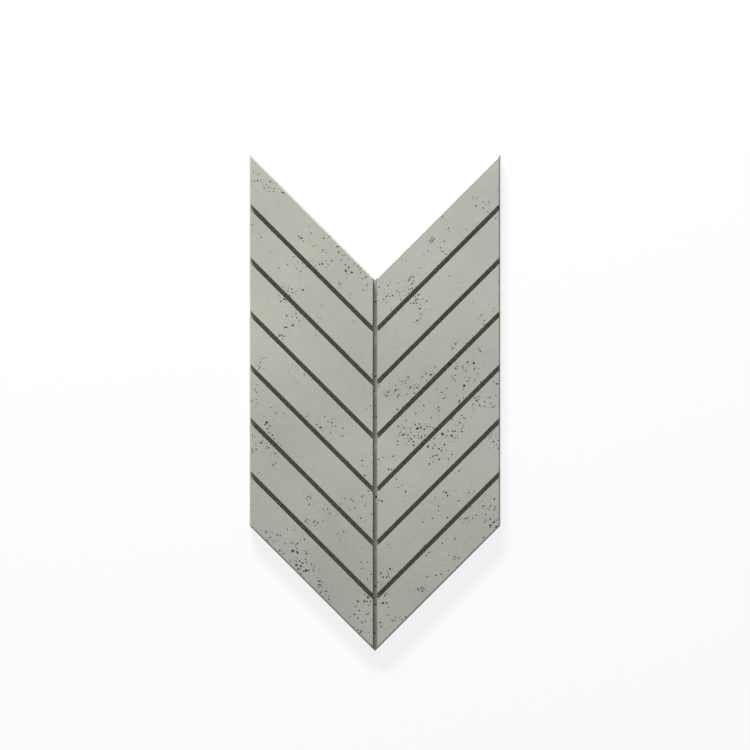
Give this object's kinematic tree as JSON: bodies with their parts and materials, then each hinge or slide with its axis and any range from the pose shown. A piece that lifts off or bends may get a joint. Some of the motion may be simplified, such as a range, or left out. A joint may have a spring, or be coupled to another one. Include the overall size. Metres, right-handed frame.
{
  "type": "chevron concrete wall panel",
  "caption": "Flat cast concrete wall panel with a herringbone face: slanted strips meet at a spine groove, pointed at one end and notched at the other.",
  "frame": {"origin": "centre of the back's bounding box, on the flat back face", "axes": "+X across the panel, +Y along the spine towards the notch, +Z out of the grooved face"},
  "size_m": [0.4974, 0.9874, 0.02],
  "materials": {
    "concrete": "matte cast concrete with open air pores"
  },
  "bodies": {
    "root": {"panel": "concrete"}
  },
  "joints": []
}
